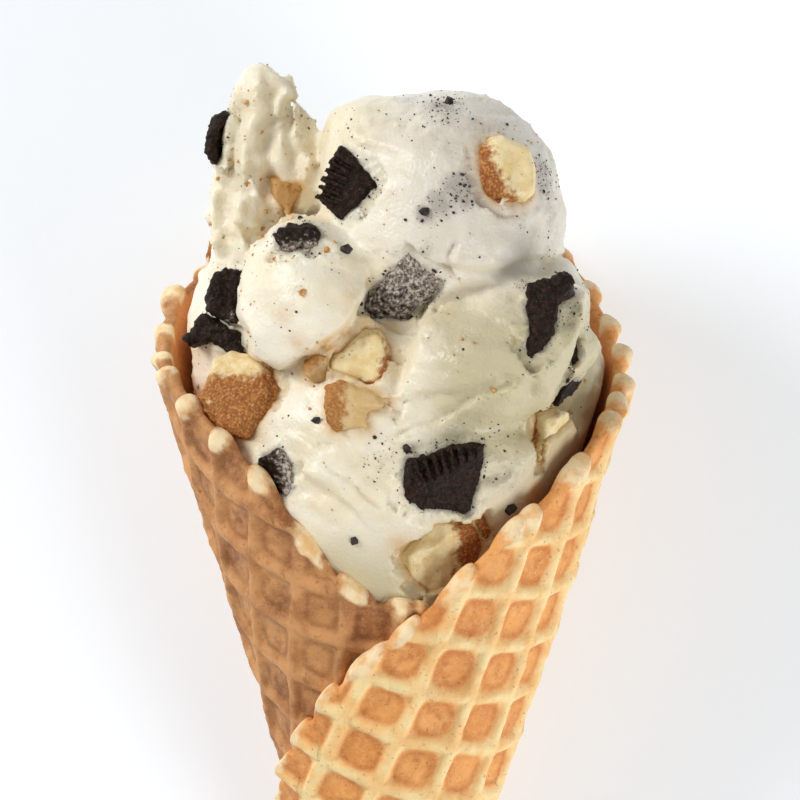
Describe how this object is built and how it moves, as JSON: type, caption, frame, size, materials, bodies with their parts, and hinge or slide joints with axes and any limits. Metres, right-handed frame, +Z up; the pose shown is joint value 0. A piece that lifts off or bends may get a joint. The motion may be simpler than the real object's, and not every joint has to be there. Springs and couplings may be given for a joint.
{
  "type": "frozen custard in a waffle cone",
  "caption": "Vanilla frozen custard with broken chocolate cookies and cheesecake cubes, in a hand-rolled waffle cone that lies on its back.",
  "frame": {"origin": "centre of the bounding box's base, on the surface that the cone lies on", "axes": "+Z up, away from the surface that the cone lies on; +Y along the cone from its tip towards the custard; +X to the right of someone who looks down on it"},
  "size_m": [0.0862, 0.1804, 0.0715],
  "materials": {
    "waffle": "baked waffle batter, dry and matte, golden to light brown with darker toasted ridges",
    "custard": "ivory frozen custard, creamy, softly glossy where it melts",
    "cookie": "dark chocolate cookie, crumbly and matte",
    "cheesecake": "pale yellow cheesecake with a golden-brown crumb crust"
  },
  "bodies": {
    "root": {"waffle_cone": "waffle", "custard": "custard", "cookie_piece_1": "cookie", "cookie_piece_2": "cookie", "cookie_piece_3": "cookie", "cookie_piece_4": "cookie", "cookie_piece_5": "cookie", "cookie_piece_6": "cookie", "cookie_piece_7": "cookie", "cookie_piece_8": "cookie", "cookie_piece_9": "cookie", "cookie_piece_10": "cookie", "cookie_piece_11": "cookie", "cookie_piece_12": "cookie", "cookie_piece_13": "cookie", "cookie_piece_14": "cookie", "cheesecake_piece_1": "cheesecake", "cheesecake_piece_2": "cheesecake", "cheesecake_piece_3": "cheesecake", "cheesecake_piece_4": "cheesecake", "cheesecake_piece_5": "cheesecake", "cheesecake_piece_6": "cheesecake", "cheesecake_piece_7": "cheesecake", "cheesecake_piece_8": "cheesecake", "cheesecake_piece_9": "cheesecake", "cheesecake_piece_10": "cheesecake", "cheesecake_piece_11": "cheesecake", "cheesecake_piece_12": "cheesecake"}
  },
  "joints": []
}
